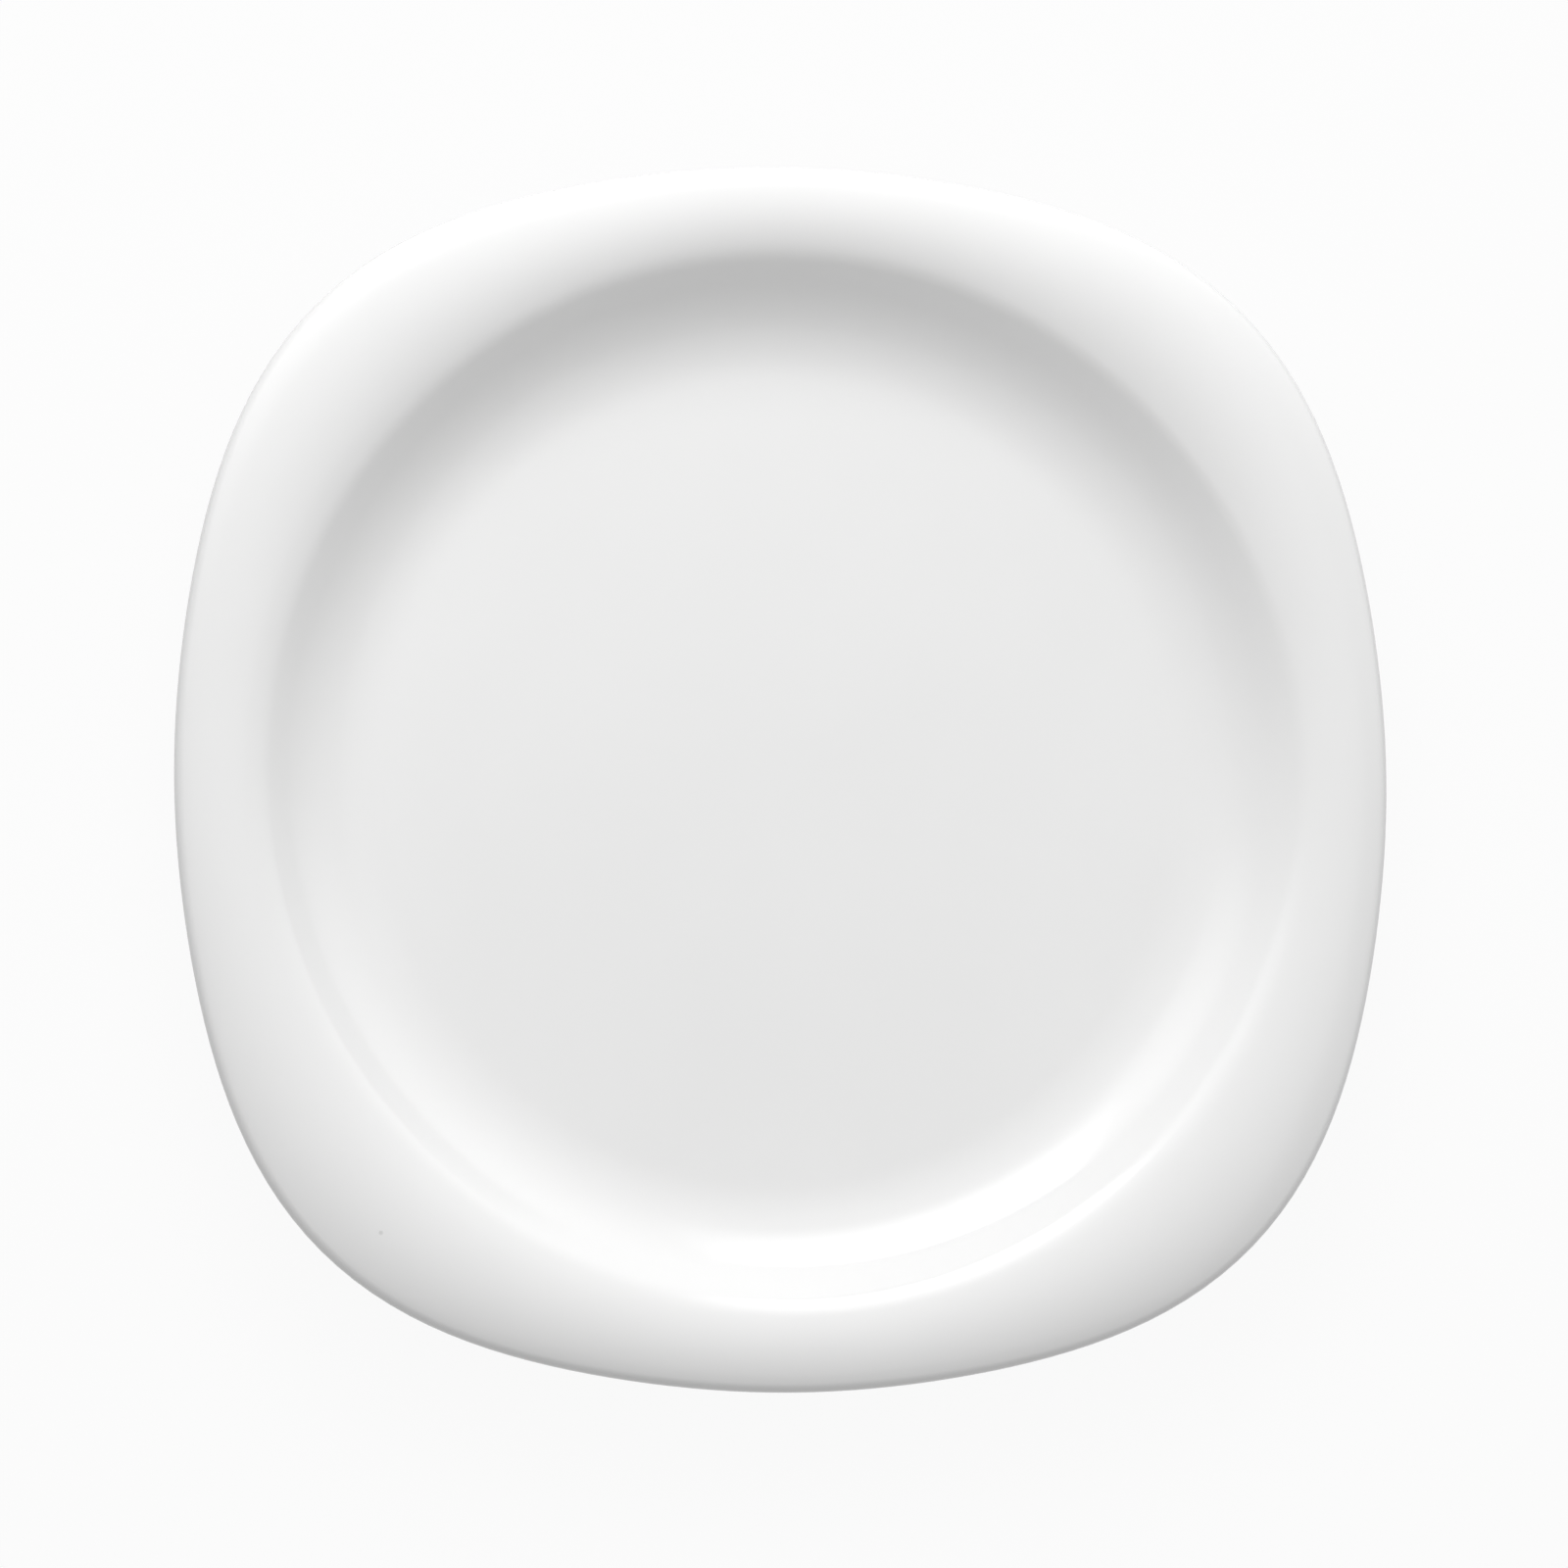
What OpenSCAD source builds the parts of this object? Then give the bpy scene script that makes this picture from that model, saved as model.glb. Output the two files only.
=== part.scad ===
// Breakfast plate of glazed porcelain: a round well in a square rim with very round corners.
// The plate stands on its foot ring at z = 0, with its middle on the Z axis and its flat sides square to X and Y.

/* [Outline] */
// Width across the flat sides of the rim
plate_w = 200; // [194:1:230]
// How far each corner stands out past a circle of that width
corner_out = 8.4; // [0:0.2:12]
// Height of the second wave of the outline, which flattens the sides and tightens the corners
corner_wave = 0.48; // [0:0.04:0.8]

/* [Well] */
// Diameter of the flat floor
floor_d = 132.2; // [112:0.2:140]
// Width of the cove between the floor and the wall
cove_w = 15.2; // [10:0.2:19]
// Lean of the wall above the floor, in degrees
wall_lean = 42; // [30:1:50]
// Width of the straight stretch of the wall
flank_w = 3.1; // [0.5:0.1:5]

/* [Rim] */
// Radius of the lip, where the wall turns out into the rim
lip_r = 8.5; // [6:0.5:16]
// Climb of the rim where it leaves the lip, in degrees
rim_rise = 24; // [8:1:28]
// Fall of the rim where it meets the rolled edge, in degrees
rim_fall = 20; // [14:1:45]

/* [Thickness] */
// Thickness of the plate with the glaze on both faces
wall_t = 4.2; // [3.4:0.1:5.4]
// Thickness of the glaze
glaze_t = 0.3; // [0.15:0.05:0.5]

/* [Foot] */
// Distance from the edge of the flat floor in to the middle of the foot ring
foot_inset = 4.3; // [4:0.1:20]
// Width of the bare foot ring where it meets the table
foot_w = 3.2; // [2:0.1:3.6]
// Height of the foot ring below the base
foot_h = 2.4; // [1.8:0.1:4]
// Lean of the sides of the foot ring, in degrees
foot_lean = 15; // [5:1:20]
// Radius of the fillet between the foot ring and the base
foot_fillet = 0.8; // [0.4:0.1:1]
// Radius of the bare edges of the foot ring
foot_round = 0.6; // [0.4:0.05:0.7]
// Depth to which the standing face is ground flat after firing
foot_grind = 0.2; // [0.1:0.05:0.35]
// Height above the table at which the glaze stops
glaze_line = 0.7; // [0.6:0.05:1]

/* [Hidden] */

// Directions in one turn around the plate, a multiple of 8 so that sides and corners are met
directions = 64;
// Steps along each arc of the section
cove_steps = 5;
lip_steps = 2;
rise_steps = 3;
fall_steps = 2;
nose_top_steps = 2;
nose_under_steps = 3;
under_steps = 4;
under_lip_steps = 1;
foot_steps = 2;

// Finished heights, and centres of the arcs that are the same in every direction
floor_r = floor_d / 2;
floor_z = foot_h + wall_t;
nose_r = wall_t / 2;
cove_r = cove_w / sin(wall_lean);
cove_centre = [floor_r, floor_z + cove_r];
flank_end = cove_centre - cove_r * square_to(wall_lean) + flank_w * [1, tan(wall_lean)];
lip_centre = flank_end - lip_r * square_to(wall_lean);
lip_end = lip_centre + lip_r * square_to(rim_rise);

// Foot ring: bare sides and rounded edges, and the fillets of the finished base
foot_mid_r = floor_r - foot_inset;
foot_turn = 90 - foot_lean;
round_in = foot_w / 2 - (foot_round - (foot_round - foot_grind) * sin(foot_lean)) / cos(foot_lean);
fillet_z = foot_h - foot_fillet;
fillet_out = foot_w / 2 + (glaze_t + foot_fillet + fillet_z * sin(foot_lean)) / cos(foot_lean);

// Unit vector square to a surface that climbs outwards at an angle
function square_to(climb) = [-sin(climb), cos(climb)];

// Radius of the outline of the plate in a direction
function outline_r(turn) =
    plate_w / 2 + corner_out / 2 * (1 - cos(4 * turn)) - corner_wave * (1 - cos(8 * turn));

// Radius of the rim's crown in a direction: it widens with the outline, so that the rim rises and falls alike all round
function crown_r(turn) =
    (outline_r(turn) - nose_r * (1 - sin(rim_fall)) - lip_end[0]) / (sin(rim_rise) + sin(rim_fall));

// A station is a point of the finished section, as radius and height, with the direction that faces out of the plate.
// An arc of stations runs from one climb to another; facing is 1 on the eating side and -1 on the underside.
function arc(centre, radius, facing, from, to, steps, first = 0) =
    [for (i = [first:steps])
        let (out = square_to(from + (to - from) * i / steps))
        [centre + radius * out, facing * out]];

// Floor, cove, wall, lip, rim and rolled edge, and the underside of them back to the edge of the flat base
function wall_stations(turn) =
    let (
        crown = crown_r(turn),
        crown_centre = lip_end - crown * square_to(rim_rise),
        nose_centre = crown_centre + (crown - nose_r) * square_to(-rim_fall)
    )
    concat(
        arc(cove_centre, -cove_r, 1, 0, wall_lean, cove_steps),
        arc(lip_centre, lip_r, 1, wall_lean, rim_rise, lip_steps),
        arc(crown_centre, crown, 1, rim_rise, 0, rise_steps, 1),
        arc(crown_centre, crown, 1, 0, -rim_fall, fall_steps, 1),
        arc(nose_centre, nose_r, 1, -rim_fall, -90, nose_top_steps, 1),
        arc(nose_centre, nose_r, 1, -90, -180 - rim_fall, nose_under_steps, 1),
        arc(crown_centre, crown - wall_t, -1, -rim_fall, rim_rise, under_steps, 1),
        arc(lip_centre, lip_r - wall_t, -1, rim_rise, wall_lean, under_lip_steps, 1),
        arc(cove_centre, -cove_r - wall_t, -1, wall_lean, 0, under_steps)
    );

// Where the glaze stops on the side of the foot ring; way is 1 outside the ring and -1 inside it
function glaze_end(way) =
    let (out = [way * cos(foot_lean), -sin(foot_lean)])
    [[foot_mid_r + way * (foot_w / 2 + glaze_line * tan(foot_lean)), glaze_line] + glaze_t * out, out];

// The fillet from the base to the glazed side of the foot ring
function fillet_stations(way) =
    arc([foot_mid_r + way * fillet_out, fillet_z], foot_fillet, -1, 0, way * foot_turn, foot_steps);

// The bare edge of the foot ring, from its side to its lowest point before grinding
function bare_edge(way) =
    arc([foot_mid_r + way * round_in, foot_round - foot_grind], -foot_round, -1, way * foot_turn, 0, foot_steps);

function reversed(list) = [for (i = [len(list) - 1:-1:0]) list[i]];

// Points of a run of stations, moved in from the finished surface by a depth
function points(stations, depth) = [for (s = stations) s[0] - depth * s[1]];

// The whole glazed run over the plate to the outside of the foot ring, and the one over the recess
function upper_run(turn) = concat(wall_stations(turn), fillet_stations(1), [glaze_end(1)]);
function recess_run() = concat([glaze_end(-1)], reversed(fillet_stations(-1)));

// Closes a surface around the axis from a section in each direction; the first and last points are capped flat
module loft(sections) {
    n = len(sections[0]);
    turns = len(sections);
    function at(i, k) = (i % turns) * n + k;
    polyhedron(
        points = [for (i = [0:turns - 1], p = sections[i])
            [p[0] * cos(i * 360 / turns), p[0] * sin(i * 360 / turns), p[1]]],
        faces = concat(
            [[for (i = [turns - 1:-1:0]) at(i, 0)]],
            [for (i = [0:turns - 1], k = [0:n - 2]) [at(i, k), at(i + 1, k), at(i + 1, k + 1)]],
            [for (i = [0:turns - 1], k = [0:n - 2]) [at(i, k), at(i + 1, k + 1), at(i, k + 1)]],
            [[for (i = [0:turns - 1]) at(i, n - 1)]]
        )
    );
}

// Fired porcelain under the glaze, with the foot ring ground flat where the plate stands
module porcelain_body() {
    color("gainsboro")
        difference() {
            loft([for (i = [0:directions - 1]) concat(
                points(upper_run(i * 360 / directions), glaze_t),
                points(bare_edge(1), 0),
                points(reversed(bare_edge(-1)), 0),
                points(recess_run(), glaze_t)
            )]);
            translate([0, 0, -2 * foot_grind])
                cylinder(r = floor_r, h = 2 * foot_grind);
        }
}

// Glaze over the eating side, the rolled edge and the underside, down to the bare line outside the foot ring
module upper_glaze() {
    color("white")
        loft([for (i = [0:directions - 1])
            let (run = upper_run(i * 360 / directions))
            concat(points(run, 0), reversed(points(run, glaze_t)))]);
}

// Glaze over the recess inside the foot ring
module recess_glaze() {
    color("whitesmoke")
        loft([for (i = [0:directions - 1])
            concat(reversed(points(recess_run(), glaze_t)), points(recess_run(), 0))]);
}

porcelain_body();
upper_glaze();
recess_glaze();
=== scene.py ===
# %% [markdown]
# # A breakfast plate of glazed porcelain
# A porcelain plate is pressed, glazed and fired as one piece, so nothing on it is assembled. Its form makes
# it worth a lesson: a round well grows into a square rim with very round corners, and the wall keeps one
# thickness over the rolled edge and back under the rim. Three bodies of material meet in it, and each
# becomes a piece here: the glaze over the top and the outside, the glaze in the recess underneath, and the
# porcelain that they cover.
#
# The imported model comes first. It holds the plate at its real size, standing on z = 0 with its middle on
# the Z axis, and every piece below is made in that same place. Its box is kept, so that the last cells can
# compare the two.

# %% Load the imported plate
import math

import bmesh
import bpy
from mathutils import Matrix, Vector


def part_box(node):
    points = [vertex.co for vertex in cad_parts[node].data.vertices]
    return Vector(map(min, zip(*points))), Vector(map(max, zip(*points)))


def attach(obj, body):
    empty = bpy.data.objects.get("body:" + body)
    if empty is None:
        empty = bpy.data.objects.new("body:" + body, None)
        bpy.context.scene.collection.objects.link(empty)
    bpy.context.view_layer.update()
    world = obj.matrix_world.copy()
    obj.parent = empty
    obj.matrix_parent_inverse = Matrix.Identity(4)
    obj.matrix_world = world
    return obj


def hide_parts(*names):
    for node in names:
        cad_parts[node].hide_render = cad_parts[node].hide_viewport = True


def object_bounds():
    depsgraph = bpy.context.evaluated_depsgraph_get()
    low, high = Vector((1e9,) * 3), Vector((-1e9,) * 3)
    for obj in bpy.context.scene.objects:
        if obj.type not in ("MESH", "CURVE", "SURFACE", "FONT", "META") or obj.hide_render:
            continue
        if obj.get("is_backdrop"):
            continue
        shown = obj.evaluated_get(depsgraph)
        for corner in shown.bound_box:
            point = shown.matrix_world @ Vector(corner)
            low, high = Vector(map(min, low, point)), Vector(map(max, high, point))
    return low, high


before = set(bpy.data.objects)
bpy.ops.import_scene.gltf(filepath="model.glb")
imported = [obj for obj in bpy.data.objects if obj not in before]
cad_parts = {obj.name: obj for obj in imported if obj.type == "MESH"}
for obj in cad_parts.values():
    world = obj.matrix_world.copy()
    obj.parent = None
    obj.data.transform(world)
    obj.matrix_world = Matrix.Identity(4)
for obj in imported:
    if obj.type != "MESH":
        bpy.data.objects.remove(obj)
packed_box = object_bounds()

print("packed nodes:", ", ".join(sorted(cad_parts)))

# %% [markdown]
# ## Sizes
# A potter thinks of a plate as its section, the line that a saw cut from the middle to the edge would show.
# These are the sizes of that section. Blender works in metres, so each size is written in millimetres times
# mm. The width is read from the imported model, which ties the pieces to it; the others can't be read from a
# box, so they are written out.

# %% Sizes of the outline and the section
mm = 0.001
glaze_low, glaze_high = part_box("upper_glaze")
plate_w = glaze_high.x - glaze_low.x
corner_out = 8.4 * mm
corner_wave = 0.48 * mm
floor_r = 66.1 * mm
cove_w = 15.2 * mm
wall_lean = 42
flank_w = 3.1 * mm
lip_r = 8.5 * mm
rim_rise = 24
rim_fall = 20
wall_t = 4.2 * mm
glaze_t = 0.3 * mm
print(f"plate {plate_w / mm:.2f} mm across its sides, wall {wall_t / mm:.1f} mm")

# %% [markdown]
# ## The outline
# Seen from above, the plate is a square with very round corners and sides that bow out a little. Such an
# outline could be four arcs, a superellipse or a subdivided square. Here it is a circle with two waves on
# it: the first comes round four times and pushes the corners out, and the second comes round eight times,
# which flattens the sides and tightens the corners. A formula by direction suits a plate, because each
# corner of a ring can then be placed by its direction.

# %% Outline by direction
def outline_r(turn):
    """Radius of the plate's edge in a direction, given in degrees from +X."""
    corners = 1 - math.cos(math.radians(4 * turn))
    sides = 1 - math.cos(math.radians(8 * turn))
    return plate_w / 2 + corner_out / 2 * corners - corner_wave * sides


print(f"edge {outline_r(0) / mm:.1f} mm from the middle at a side, {outline_r(45) / mm:.1f} mm at a corner")

# %% [markdown]
# ## Arcs of the section
# The section is a chain of arcs and straight lines, and each one starts in the direction in which the last
# one ended. That is what makes a glaze look poured: the reflections slide over it without a crease. A
# hand-bent curve could look alike, but arcs have radii, so the top and the underside can share their
# centres and stay one wall apart.
#
# A station is a point of the section, as radius and height, and the direction that faces out of the plate
# there. The second half is what lets the porcelain lie a glaze's thickness below the finished surface.

# %% Arcs made of stations
def square_to(climb):
    """Unit vector square to a surface that climbs outwards at an angle in degrees."""
    angle = math.radians(climb)
    return Vector((-math.sin(angle), math.cos(angle)))


def arc(centre, radius, facing, start, end, step, first=0):
    """Stations from one climb to another; facing is 1 on the eating side and -1 on the underside."""
    count = math.ceil(abs(end - start) / step)
    outs = [square_to(start + (end - start) * i / count) for i in range(first, count + 1)]
    return [(centre + radius * out, facing * out) for out in outs]


def sunk(stations, depth):
    """Points of the stations, moved in from the finished surface."""
    return [point - depth * out for point, out in stations]


# %% [markdown]
# ## The wall, from the floor over the rim and back to the base
# The cove lifts the flat floor to the lean of the wall, a short flank goes on straight, and the lip turns
# out into the rim. These are the same all round, since the well is round. The crown of the rim isn't:
# towards a corner the rim is wider, so the crown's radius grows, and the rim still leaves the lip and meets
# the edge at the same angles. A round nose of half the wall's thickness rolls the edge under, and the
# underside follows the same centres one wall further in. The crown is two arcs that meet at its crest, so
# that the highest ring is a true one.

# %% Heights and centres that are the same all round
foot_h = 2.4 * mm
floor_z = foot_h + wall_t
nose_r = wall_t / 2
cove_r = cove_w / math.sin(math.radians(wall_lean))
cove_centre = Vector((floor_r, floor_z + cove_r))
flank = flank_w * Vector((1, math.tan(math.radians(wall_lean))))
flank_end = cove_centre - cove_r * square_to(wall_lean) + flank
lip_centre = flank_end - lip_r * square_to(wall_lean)
lip_end = lip_centre + lip_r * square_to(rim_rise)
print(f"lip at radius {lip_end.x / mm:.1f} mm and height {lip_end.y / mm:.1f} mm")

# %% Crown and nose by direction
def crown_r(turn):
    """Radius of the rim's crown in a direction."""
    room = outline_r(turn) - nose_r * (1 - math.sin(math.radians(rim_fall))) - lip_end.x
    return room / (math.sin(math.radians(rim_rise)) + math.sin(math.radians(rim_fall)))


def crown_centre(turn):
    """Centre of the rim's crown in a direction."""
    return lip_end - crown_r(turn) * square_to(rim_rise)


def nose_centre(turn):
    """Centre of the rolled edge in a direction."""
    return crown_centre(turn) + (crown_r(turn) - nose_r) * square_to(-rim_fall)


print(f"crown radius {crown_r(0) / mm:.1f} mm at a side, {crown_r(45) / mm:.1f} mm at a corner")

# %% Stations of the wall
nose_step = 8


def wall_stations(turn, step):
    """Cove, lip, crown and nose, and the underside of them back to the flat base."""
    crown = crown_r(turn)
    crown_mid = crown_centre(turn)
    nose_mid = nose_centre(turn)
    return (
        arc(cove_centre, -cove_r, 1, 0, wall_lean, step)
        + arc(lip_centre, lip_r, 1, wall_lean, rim_rise, step)
        + arc(crown_mid, crown, 1, rim_rise, 0, step, 1)
        + arc(crown_mid, crown, 1, 0, -rim_fall, step, 1)
        + arc(nose_mid, nose_r, 1, -rim_fall, -90, nose_step, 1)
        + arc(nose_mid, nose_r, 1, -90, -180 - rim_fall, nose_step, 1)
        + arc(crown_mid, crown - wall_t, -1, -rim_fall, rim_rise, step, 1)
        + arc(lip_centre, lip_r - wall_t, -1, rim_rise, wall_lean, step, 1)
        + arc(cove_centre, -cove_r - wall_t, -1, wall_lean, 0, step)
    )


# %% [markdown]
# ## The foot ring
# A plate is fired standing on its foot, so the foot's standing face is wiped free of glaze, or the plate
# would fuse to the shelf. After firing that face is ground flat. The ring has leaning sides, a small fillet
# up to the base, and rounded bare edges. The glaze stops a little above the table on both sides of it. Way
# is 1 outside the ring and -1 inside, so one function makes both sides.

# %% Sizes of the foot ring
foot_inset = 4.3 * mm
foot_mid_r = floor_r - foot_inset
foot_w = 3.2 * mm
foot_lean = 15
foot_turn = 90 - foot_lean
foot_fillet = 0.8 * mm
foot_round = 0.6 * mm
foot_grind = 0.2 * mm
glaze_line = 0.7 * mm
lean_sin = math.sin(math.radians(foot_lean))
lean_cos = math.cos(math.radians(foot_lean))
round_in = foot_w / 2 - (foot_round - (foot_round - foot_grind) * lean_sin) / lean_cos
fillet_z = foot_h - foot_fillet
fillet_out = foot_w / 2 + (glaze_t + foot_fillet + fillet_z * lean_sin) / lean_cos
ground_climb = math.degrees(math.acos(1 - foot_grind / foot_round))
print(f"foot ring {2 * foot_mid_r / mm:.1f} mm across, {foot_h / mm:.1f} mm high")

# %% Stations of the foot ring
fillet_step = 12


def fillet_stations(way):
    """The fillet from the base to the glazed side of the ring."""
    centre = Vector((foot_mid_r + way * fillet_out, fillet_z))
    return arc(centre, foot_fillet, -1, 0, way * foot_turn, fillet_step)


def glaze_end(way):
    """The station at which the glaze stops on the side of the ring."""
    out = Vector((way * lean_cos, -lean_sin))
    side = Vector((foot_mid_r + way * (foot_w / 2 + glaze_line * lean_sin / lean_cos), glaze_line))
    return (side + glaze_t * out, out)


def bare_edge(way):
    """The bare edge of the ring, from its side to where it is ground flat."""
    centre = Vector((foot_mid_r + way * round_in, foot_round - foot_grind))
    return arc(centre, -foot_round, -1, way * foot_turn, way * ground_climb, fillet_step)


# %% [markdown]
# ## A loft, as a potter's wheel would make it
# Spin would turn one section round the axis, but then the rim would be round too. So the surface is pulled
# out ring by ring: a circle is added, filled in with Grid Fill for the flat middle, and its edge is
# extruded again and again. After each extrusion every corner of the new ring moves to the section of its
# own direction. The rings are close together, two degrees of bend apart on the glaze, so the smooth shading
# follows the true curve and no subdivision is needed, which would draw the outline in.

# %% Put a ring in its place
directions = 192


def place_ring(sections, station):
    """Puts each corner of the selected ring on the section of its own direction."""
    mesh = bpy.context.object.data
    net = bmesh.from_edit_mesh(mesh)
    for corner in net.verts:
        if corner.select:
            number = round(math.atan2(corner.co.y, corner.co.x) / math.tau * directions) % directions
            turn = math.tau * number / directions
            radius, height = sections[number][station]
            corner.co = (radius * math.cos(turn), radius * math.sin(turn), height)
    bmesh.update_edit_mesh(mesh)


# %% Pull a surface out ring by ring
grid_span = directions // 4
merge_distance = 0.001 * mm


def loft(name, section, closed_end=False):
    """A surface pulled out from a filled circle along the section of each direction."""
    sections = [section(360 * i / directions) for i in range(directions)]
    bpy.ops.object.select_all(action="DESELECT")
    bpy.ops.mesh.primitive_circle_add(vertices=directions, radius=floor_r)
    piece = bpy.context.object
    piece.name = name
    piece.data.name = name
    bpy.ops.object.mode_set(mode="EDIT")
    bpy.ops.mesh.select_all(action="SELECT")
    place_ring(sections, 0)
    bpy.ops.mesh.fill_grid(span=grid_span)
    bpy.ops.mesh.select_all(action="SELECT")
    bpy.ops.mesh.region_to_loop()
    for station in range(1, len(sections[0])):
        bpy.ops.mesh.extrude_edges_move()
        place_ring(sections, station)
    if closed_end:
        bpy.ops.mesh.fill_grid(span=grid_span)
    bpy.ops.mesh.select_all(action="SELECT")
    bpy.ops.mesh.remove_doubles(threshold=merge_distance)
    bpy.ops.mesh.normals_make_consistent(inside=False)
    bpy.ops.object.mode_set(mode="OBJECT")
    print(f"{name}: {len(sections[0])} rings of {directions} corners, {len(piece.data.polygons)} faces")
    return piece


# %% [markdown]
# ## A coat of glaze
# Glaze is a skin of glass about a third of a millimetre thick. The lofted surface is its outer face, so
# Solidify puts the thickness inwards and closes the sheet where it stops. Recalculating normals can't tell
# the inside of an open sheet, so the middle of the sheet is asked which way it faces, and the sheet is
# flipped if that is wrong. Where melted glaze stops it draws back into a round bead, so the last edge is
# bevelled.

# %% Turn a sheet the right way
def face_middle(piece, up):
    """Turns a sheet so that its flat middle faces up or down."""
    middle = min(piece.data.polygons, key=lambda face: face.center.xy.length)
    if (middle.normal.z > 0) != up:
        bpy.ops.object.mode_set(mode="EDIT")
        bpy.ops.mesh.select_all(action="SELECT")
        bpy.ops.mesh.flip_normals()
        bpy.ops.object.mode_set(mode="OBJECT")


# %% Give a sheet its thickness
def thicken(piece):
    """Gives a sheet the thickness of the glaze, inwards."""
    bpy.ops.object.modifier_add(type="SOLIDIFY")
    coat = piece.modifiers[-1]
    coat.thickness = glaze_t
    coat.offset = -1
    coat.use_even_offset = True
    coat.use_quality_normals = True
    bpy.ops.object.modifier_apply(modifier=coat.name)


# %% Round the end of the glaze
bead_r = 0.13 * mm
bead_steps = 3


def round_glaze_line(piece, way):
    """Bevels the outer edge of the glaze where it stops on the foot ring."""
    end = glaze_end(way)[0]
    bpy.ops.object.mode_set(mode="EDIT")
    bpy.ops.mesh.select_mode(type="EDGE")
    bpy.ops.mesh.select_all(action="DESELECT")
    net = bmesh.from_edit_mesh(piece.data)
    for edge in net.edges:
        gaps = [(Vector((v.co.xy.length, v.co.z)) - end).length for v in edge.verts]
        edge.select_set(max(gaps) < bead_r / 2)
    bmesh.update_edit_mesh(piece.data)
    bpy.ops.mesh.bevel(offset=bead_r, segments=bead_steps, affect="EDGES")
    bpy.ops.object.mode_set(mode="OBJECT")


# %% [markdown]
# ## Glaze over the plate
# One coat covers everything that is seen from above: floor, cove, flank, lip, crown and rolled edge. It
# goes on under the rim and along the base to the outside of the foot ring. The mesh starts at the flat
# floor and ends at the bare line.

# %% Make the glaze over the plate
glaze_step = 2
smooth_below = math.radians(35)


def upper_run(turn, step):
    """All stations of the coat over the plate in a direction."""
    return wall_stations(turn, step) + fillet_stations(1) + [glaze_end(1)]


plate_glaze = loft("plate_glaze", lambda turn: sunk(upper_run(turn, glaze_step), 0))
face_middle(plate_glaze, up=True)
thicken(plate_glaze)
round_glaze_line(plate_glaze, 1)
bpy.ops.object.shade_smooth_by_angle(angle=smooth_below)
print(f"plate_glaze: {len(plate_glaze.data.polygons)} faces with its thickness")

# %% [markdown]
# ## Glaze in the recess
# Inside the foot ring lies a second field of the same glaze, cut off from the first by the bare standing
# face. It is a shallow dish that faces down, so its middle faces down and its thickness goes up into the
# porcelain.

# %% Make the glaze in the recess
def recess_run():
    """Stations from the edge of the recess's flat middle down to the bare line."""
    return fillet_stations(-1) + [glaze_end(-1)]


recess_coat = loft("recess_coat", lambda turn: sunk(recess_run(), 0))
face_middle(recess_coat, up=False)
thicken(recess_coat)
round_glaze_line(recess_coat, -1)
bpy.ops.object.shade_smooth_by_angle(angle=smooth_below)
print(f"recess_coat: {len(recess_coat.data.polygons)} faces with its thickness")

# %% [markdown]
# ## The porcelain
# The body is what the potter pressed. It fills the space between the coats, so it takes the same stations,
# sunk by the thickness of the glaze, and adds the bare edges and the flat standing face of the foot ring.
# Most of it is hidden, which is why it gets wider steps. It ends in the ceiling of the recess and is closed
# there, so it needs no thickness of its own.

# %% Make the porcelain
porcelain_step = 6


def porcelain_section(turn):
    """The whole closed section of the body in a direction."""
    bare_ring = bare_edge(1) + bare_edge(-1)[::-1]
    top = sunk(upper_run(turn, porcelain_step), glaze_t)
    return top + sunk(bare_ring, 0) + sunk(recess_run()[::-1], glaze_t)


porcelain = loft("porcelain", porcelain_section, closed_end=True)
bpy.ops.object.shade_smooth_by_angle(angle=smooth_below)
standing = [v.co for v in porcelain.data.vertices if abs(v.co.z) < merge_distance]
print(f"porcelain: {len(standing)} corners on the standing face")

# %% [markdown]
# ## Node helpers
# A finish in Blender is a small graph of nodes, and a lamp or the world can have one too. These helpers keep
# the next cells short. The first ones add a node, link it, and mix two colours. The others send noise of a
# given grain through a range of values. All patterns read Object coordinates, which are metres on the piece
# itself, so a grain is given by its size in metres and the scale of the noise is one over it.

# %% Add and link nodes
def add_node(owner, kind, **inputs):
    """Adds a node and sets its inputs; an underscore in a name stands for a space."""
    made = owner.node_tree.nodes.new(kind)
    for name, value in inputs.items():
        made.inputs[name.replace("_", " ")].default_value = value
    return made


def join(owner, output, socket):
    """Links an output to a socket."""
    owner.node_tree.links.new(output, socket)


def put(owner, value, socket):
    """Links an output to a socket, or writes a plain value there."""
    if isinstance(value, bpy.types.NodeSocket):
        join(owner, value, socket)
    else:
        socket.default_value = value


# %% Mix colours
def blend(owner, share, first, second):
    """Mixes two colours by a share from 0 to 1; each is a plain colour or an output."""
    mixed = add_node(owner, "ShaderNodeMix")
    mixed.data_type = "RGBA"
    join(owner, share, mixed.inputs["Factor"])
    colours = [socket for socket in mixed.inputs if socket.type == "RGBA"]
    put(owner, first, colours[0])
    put(owner, second, colours[1])
    return next(socket for socket in mixed.outputs if socket.type == "RGBA")


# %% Noise, its range and a blank material
def grain(material, place, size, detail):
    """Noise with patches of about a size in metres; returns its value from 0 to 1."""
    noise = add_node(material, "ShaderNodeTexNoise", Scale=1 / size, Detail=detail)
    join(material, place, noise.inputs["Vector"])
    return noise.outputs["Fac"]


def spread(material, value, low, high):
    """Maps the middle part of a noise value to a range."""
    mapped = add_node(material, "ShaderNodeMapRange", From_Min=0.3, From_Max=0.7, To_Min=low, To_Max=high)
    join(material, value, mapped.inputs["Value"])
    return mapped.outputs["Result"]


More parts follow.
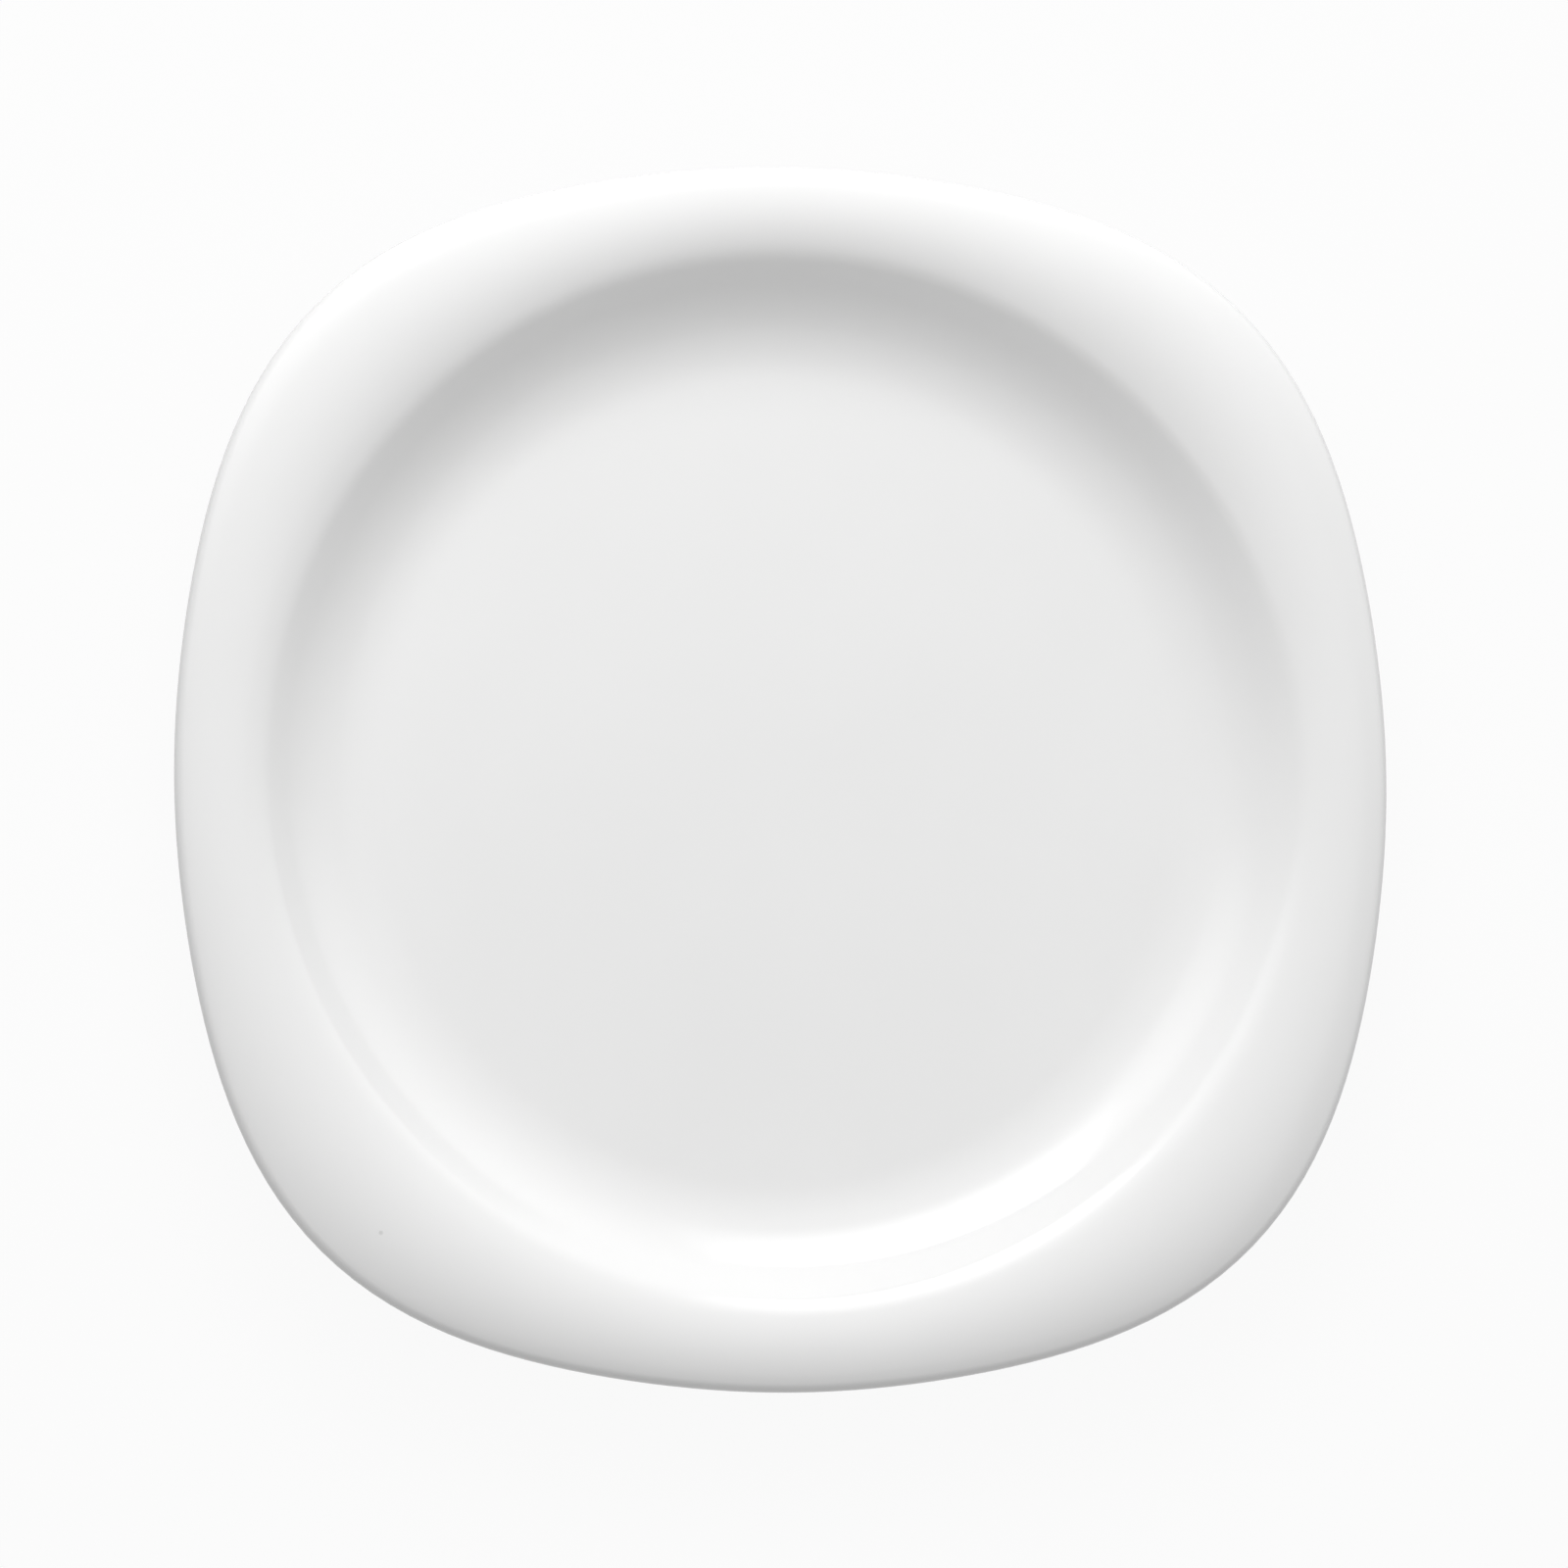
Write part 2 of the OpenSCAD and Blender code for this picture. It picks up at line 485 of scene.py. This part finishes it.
def blank(name):
    """A new material with its surface shader and the piece's own coordinates."""
    material = bpy.data.materials.new(name)
    material.use_nodes = True
    place = add_node(material, "ShaderNodeTexCoord").outputs["Object"]
    return material, material.node_tree.nodes["Principled BSDF"], place


# %% [markdown]
# ## The glaze's white
# Fired glaze is clear glass over white porcelain: a white base with a sharp reflection, and an index of 1.5.
# One flat white would look like plastic, so the white drifts by about one part in a hundred in wide, soft
# patches. It could be painted, but noise does it without a seam.

# %% White that drifts a little
glass_index = 1.5
glaze_white = (0.852, 0.852, 0.85, 1)
glaze_white_low = (0.84, 0.84, 0.838, 1)
drift_size = 35 * mm
glaze, glaze_shader, glaze_place = blank("glaze")
glaze_shader.inputs["IOR"].default_value = glass_index
drift = spread(glaze, grain(glaze, glaze_place, drift_size, detail=2), 0, 1)
drifting_white = blend(glaze, drift, glaze_white_low, glaze_white)
print("glaze white from", glaze_white_low[0], "to", glaze_white[0])

# %% [markdown]
# ## A speck in the glaze
# Even good porcelain has the odd grain of iron in its glaze. This plate has one, as a faint grey dot less
# than a millimetre wide on its rim. It is a measure of distance from one point, softened at its edge, that
# mixes a darker grey into the white.

# %% One iron speck
speck_turn = math.radians(227.6)
speck_from_axis = 99.9 * mm
speck_height = 18.8 * mm
speck_core = 0.2 * mm
speck_fade = 0.5 * mm
speck_grey = (0.7, 0.7, 0.695, 1)
speck_x = speck_from_axis * math.cos(speck_turn)
speck_y = speck_from_axis * math.sin(speck_turn)
reach = add_node(glaze, "ShaderNodeVectorMath")
reach.operation = "DISTANCE"
reach.inputs[1].default_value = (speck_x, speck_y, speck_height)
join(glaze, glaze_place, reach.inputs[0])
dot = add_node(glaze, "ShaderNodeMapRange", From_Min=speck_core, From_Max=speck_fade, To_Min=1, To_Max=0)
dot.interpolation_type = "SMOOTHSTEP"
join(glaze, reach.outputs["Value"], dot.inputs["Value"])
speckled_white = blend(glaze, dot.outputs["Result"], drifting_white, speck_grey)
join(glaze, speckled_white, glaze_shader.inputs["Base Color"])
print(f"speck {speck_from_axis / mm:.1f} mm from the middle, {speck_height / mm:.1f} mm up")

# %% [markdown]
# ## The glaze's gloss
# The melt isn't even. Its gloss changes in patches, and it leaves long, shallow waves and a fine orange peel,
# which bend reflections a little. Both are bump, because the highest of them is a few hundredths of a
# millimetre, far less than a mesh should carry.

# %% Gloss in patches, long waves and orange peel
gloss_size = 12 * mm
gloss_low = 0.06
gloss_high = 0.1
wave_size = 30 * mm
wave_height = 0.02 * mm
peel_size = 2.5 * mm
peel_height = 0.0012 * mm
gloss = spread(glaze, grain(glaze, glaze_place, gloss_size, detail=3), gloss_low, gloss_high)
join(glaze, gloss, glaze_shader.inputs["Roughness"])
waves = add_node(glaze, "ShaderNodeBump", Distance=wave_height)
join(glaze, grain(glaze, glaze_place, wave_size, detail=1), waves.inputs["Height"])
peel = add_node(glaze, "ShaderNodeBump", Distance=peel_height)
join(glaze, grain(glaze, glaze_place, peel_size, detail=2), peel.inputs["Height"])
join(glaze, waves.outputs["Normal"], peel.inputs["Normal"])
join(glaze, peel.outputs["Normal"], glaze_shader.inputs["Normal"])
print(f"glaze roughness from {gloss_low} to {gloss_high}")

# %% [markdown]
# ## The bare porcelain's finish
# Where it is bare, porcelain is matt and a little warmer than the glaze, like fine plaster with a grain of
# tenths of a millimetre. The grinding wheel leaves fine circles on the standing face, and shelves rub grey
# into them. The circles are noise that reads only the distance from the axis, so they run round the ring by
# themselves.

# %% Warm grain
porcelain_light = (0.86, 0.845, 0.81, 1)
porcelain_dark = (0.79, 0.772, 0.735, 1)
grain_size = 0.4 * mm
biscuit, biscuit_shader, biscuit_place = blank("bare_porcelain")
biscuit_shader.inputs["IOR"].default_value = glass_index
fine_grain = grain(biscuit, biscuit_place, grain_size, detail=3)
warm_white = blend(biscuit, spread(biscuit, fine_grain, 0, 1), porcelain_dark, porcelain_light)
print("bare porcelain red from", porcelain_dark[0], "to", porcelain_light[0])

# %% Circles left by grinding, and grey rubbed into them
circle_size = 0.22 * mm
rub_grey = (0.6, 0.59, 0.57, 1)
rub_share = 0.45
level = add_node(biscuit, "ShaderNodeVectorMath")
level.operation = "MULTIPLY"
level.inputs[1].default_value = (1, 1, 0)
join(biscuit, biscuit_place, level.inputs[0])
from_axis = add_node(biscuit, "ShaderNodeVectorMath")
from_axis.operation = "LENGTH"
join(biscuit, level.outputs["Vector"], from_axis.inputs[0])
circles = add_node(biscuit, "ShaderNodeTexNoise", Scale=1 / circle_size, Detail=2)
circles.noise_dimensions = "1D"
join(biscuit, from_axis.outputs["Value"], circles.inputs["W"])
rub = spread(biscuit, circles.outputs["Fac"], 0, rub_share)
join(biscuit, blend(biscuit, rub, warm_white, rub_grey), biscuit_shader.inputs["Base Color"])
print(f"grinding circles about {circle_size / mm:.2f} mm apart")

# %% Matt surface
matt_low = 0.72
matt_high = 0.92
grain_height = 0.012 * mm
circle_height = 0.004 * mm
join(biscuit, spread(biscuit, fine_grain, matt_low, matt_high), biscuit_shader.inputs["Roughness"])
grit = add_node(biscuit, "ShaderNodeBump", Distance=grain_height)
join(biscuit, fine_grain, grit.inputs["Height"])
scratches = add_node(biscuit, "ShaderNodeBump", Distance=circle_height)
join(biscuit, circles.outputs["Fac"], scratches.inputs["Height"])
join(biscuit, grit.outputs["Normal"], scratches.inputs["Normal"])
join(biscuit, scratches.outputs["Normal"], biscuit_shader.inputs["Normal"])
print(f"bare porcelain roughness from {matt_low} to {matt_high}")

# %% [markdown]
# ## Dress the frame
# Each piece now gets its finish, rides on the plate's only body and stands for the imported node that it
# shows. Both coats share one finish, since they are the same glaze.

# %% Finishes, and what each piece stands for
def dress(piece, node, material):
    """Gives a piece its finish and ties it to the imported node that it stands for."""
    piece.data.materials.clear()
    piece.data.materials.append(material)
    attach(piece, "root")
    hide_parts(node)
    print(f"{piece.name} stands for {node} and shows {material.name}")


dress(plate_glaze, "upper_glaze", glaze)
dress(recess_coat, "recess_glaze", glaze)
dress(porcelain, "porcelain_body", biscuit)

# %% [markdown]
# ## What sees the white studio
# The plate is shown on plain white. To lift the whole floor to white with lamps would burn out the plate, so
# the floor and the world are white only to rays that look at them: from the camera, in a reflection or
# through glass. The other rays only carry light, and for them the studio stays at a plain level. The Light
# Path node tells them apart.

# %% Rays that look at the studio, and rays that light the plate
looking = ("Is Camera Ray", "Is Glossy Ray", "Is Transmission Ray")
lighting = ("Is Diffuse Ray", "Is Shadow Ray")


def calculate(owner, operation, *values):
    """A Math node on plain numbers or outputs."""
    made = add_node(owner, "ShaderNodeMath")
    made.operation = operation
    for value, socket in zip(values, made.inputs):
        put(owner, value, socket)
    return made.outputs["Value"]


def rays(owner, kinds):
    """1 for rays of any of the kinds, and 0 for the others."""
    path = add_node(owner, "ShaderNodeLightPath")
    total = path.outputs[kinds[0]]
    for kind in kinds[1:]:
        total = calculate(owner, "MAXIMUM", total, path.outputs[kind])
    return total


# %% [markdown]
# ## The floor
# A wide plane lies a hair below the foot ring. It is a pale matt sheet with a glow for the rays that look at
# it, so it comes out white and still takes the plate's soft shadow. From below it is clear, and it lets the
# room's light through to the plate, so that the underside can be looked at as well.

# %% Lay the floor
floor_side = 8
floor_drop = 0.05 * mm
bpy.ops.object.select_all(action="DESELECT")
bpy.ops.mesh.primitive_plane_add(size=floor_side, location=(0, 0, -floor_drop))
studio_floor = bpy.context.object
studio_floor.name = "studio_floor"
studio_floor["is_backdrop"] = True
print(f"floor {floor_side} m wide, {floor_drop / mm:.2f} mm below the plate")

# %% A sheet that glows, takes a shadow and is clear from below
floor_pale = (0.7, 0.7, 0.7, 1)
floor_glow = 0.92
sheet = bpy.data.materials.new("pale_sheet")
sheet.use_nodes = True
sheet.node_tree.nodes.clear()


def mix_shaders(owner, share, first, second):
    """Mixes two shaders by a share from 0 to 1."""
    mixed = add_node(owner, "ShaderNodeMixShader")
    for output, socket in zip((share, first, second), mixed.inputs):
        join(owner, output, socket)
    return mixed.outputs["Shader"]


matt = add_node(sheet, "ShaderNodeBsdfDiffuse", Color=floor_pale).outputs["BSDF"]
glow = add_node(sheet, "ShaderNodeEmission", Strength=1).outputs["Emission"]
clear = add_node(sheet, "ShaderNodeBsdfTransparent").outputs["BSDF"]
from_below = add_node(sheet, "ShaderNodeNewGeometry").outputs["Backfacing"]
shown = mix_shaders(sheet, calculate(sheet, "MULTIPLY", rays(sheet, looking), floor_glow), matt, glow)
for clear_share in (from_below, rays(sheet, lighting)):
    shown = mix_shaders(sheet, clear_share, shown, clear)
join(sheet, shown, add_node(sheet, "ShaderNodeOutputMaterial").inputs["Surface"])
studio_floor.data.materials.append(sheet)
print(f"floor colour {floor_pale[0]}, glow {floor_glow}")

# %% [markdown]
# ## Light from all round
# Much of the light comes from all round, as in a white room. One number sets how strongly the world lights
# the plate. To the rays that look at it, the same world is plain white.

# %% The room
room_light = 0.34
room = bpy.data.worlds.new("white_room")
bpy.context.scene.world = room
room.use_nodes = True
background = room.node_tree.nodes["Background"]
background.inputs["Color"].default_value = (1, 1, 1, 1)
seen = add_node(room, "ShaderNodeMapRange", To_Min=room_light, To_Max=1)
join(room, rays(room, looking), seen.inputs["Value"])
join(room, seen.outputs["Result"], background.inputs["Strength"])
print(f"light from all round {room_light}")

# %% [markdown]
# ## Lamps that fade
# A plain lamp ends in a hard edge, and a glaze shows that edge. A real softbox is brightest in its middle, so
# here the strength of a softbox follows half a sine wave across it. Geometry's Parametric gives the place on
# a lamp, from 0 to 1 both ways. A wave that starts at its top, and not at zero, keeps one edge crisp.

# %% A lamp that faces the plate
box_distance = 0.9


def lamp(name, heading, rise, wide, high, watts, distance=box_distance):
    """An oblong lamp that faces the plate from a heading and a rise in degrees."""
    flat = math.cos(math.radians(rise))
    away = Vector((
        flat * math.cos(math.radians(heading)),
        flat * math.sin(math.radians(heading)),
        math.sin(math.radians(rise)),
    ))
    facing = away.to_track_quat("Z", "Y").to_euler()
    bpy.ops.object.light_add(type="AREA", location=distance * away, rotation=facing)
    made = bpy.context.object
    made.name = name
    made.data.shape = "RECTANGLE"
    made.data.size = wide
    made.data.size_y = high
    made.data.energy = watts
    made.visible_camera = False
    print(f"{name}: {watts} W at {heading} degrees, {rise} up")
    return made.data


# %% A softbox
mean_of_half_wave = 2 / math.pi


def fade(light, place, start):
    """Strength by place across a lamp: a sine wave from a start to half a turn, with a mean of 1."""
    phase = add_node(light, "ShaderNodeMapRange", To_Min=start, To_Max=math.pi)
    join(light, place, phase.inputs["Value"])
    wave = calculate(light, "SINE", phase.outputs["Result"])
    return calculate(light, "DIVIDE", wave, mean_of_half_wave)


def softbox(name, heading, rise, wide, high, watts, across, upwards):
    """A lamp that fades across and upwards, each from a start of the wave."""
    light = lamp(name, heading, rise, wide, high, watts)
    light.use_nodes = True
    axes = add_node(light, "ShaderNodeSeparateXYZ")
    join(light, add_node(light, "ShaderNodeNewGeometry").outputs["Parametric"], axes.inputs["Vector"])
    fade_x = fade(light, axes.outputs["X"], across)
    fade_y = fade(light, axes.outputs["Y"], upwards)
    strength = light.node_tree.nodes["Emission"].inputs["Strength"]
    join(light, calculate(light, "MULTIPLY", fade_x, fade_y), strength)


# %% [markdown]
# ## Soft studio light
# The shape of the plate is drawn by three softboxes behind it. The middle one is the key: it makes the sheen
# in the cove on the near side, the bright line along the lip and the shade on the far wall, which faces away
# from it. It hangs low and its light is let out at its lower edge, so upwards it takes only the falling half
# of the wave. The two wings carry its light on round the plate, and a wide lamp overhead adds to the room.
# A white table also throws light back up, which lifts the rolled edge and the underside. A wide lamp below
# the floor does that here, because the floor lets such light through.

# %% Place the lamps
both_edges = 0
upper_edge = math.pi / 2
table_depth = 0.2
softbox("key", 95, 38, wide=0.8, high=0.6, watts=4.2, across=both_edges, upwards=upper_edge)
softbox("right_wing", 45, 25, wide=1.5, high=1.2, watts=1.97, across=both_edges, upwards=both_edges)
softbox("left_wing", 130, 40, wide=1, high=0.8, watts=1.84, across=both_edges, upwards=both_edges)
lamp("overhead", 0, 90, wide=1.2, high=1.2, watts=1.65)
lamp("table", 0, -90, wide=2, high=2, watts=2.5, distance=table_depth)

# %% [markdown]
# ## The camera
# The plate is seen almost from straight above, through a long lens about two metres away. The round floor
# gives the view away: it lies deeper than the rim, and it sits a little off the middle of the outline, which
# takes a tilt of ten degrees. The camera is built from its own three axes, since a view this steep leaves no
# horizon to level it by.

# %% The camera's own axes
tilt = math.radians(9.95)
tilt_heading = math.radians(201.7)
roll = math.radians(-0.56)
back = Vector((
    math.sin(tilt) * math.cos(tilt_heading),
    math.sin(tilt) * math.sin(tilt_heading),
    math.cos(tilt),
))
right = Vector((-math.sin(roll), math.cos(roll), 0)).cross(back).normalized()
up = back.cross(right)
print(f"camera tilted by {math.degrees(tilt):.2f} degrees")

# %% Place the camera
camera_distance = 1.957
camera_lens = 275.9
sensor_w = 36
image_side = 1600
middle_right = 1.24
middle_up = 6.07
pixel = camera_distance / camera_lens * sensor_w / image_side
middle = Vector((0, 0, (nose_centre(0).y + nose_centre(45).y) / 2))
aim = middle - pixel * (middle_right * right + middle_up * up)
bpy.ops.object.camera_add(location=aim + camera_distance * back)
camera = bpy.context.object
camera.rotation_euler = Matrix((right, up, back)).transposed().to_euler()
camera.data.lens = camera_lens
camera.data.sensor_width = sensor_w
bpy.context.scene.camera = camera
bpy.context.scene.view_settings.view_transform = "Standard"
print(f"one pixel is {pixel / mm:.3f} mm on the plate")

# %% [markdown]
# ## Compare and finish
# The plate that is shown has to be the size of the plate that was packed. Both boxes are measured,
# and the difference is printed.

# %% Compare both boxes
shown_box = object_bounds()
for name, packed_corner, shown_corner in zip(("lowest", "highest"), packed_box, shown_box):
    gaps = [round(value / mm, 3) for value in shown_corner - packed_corner]
    print(name, "corner differs by", gaps, "mm")
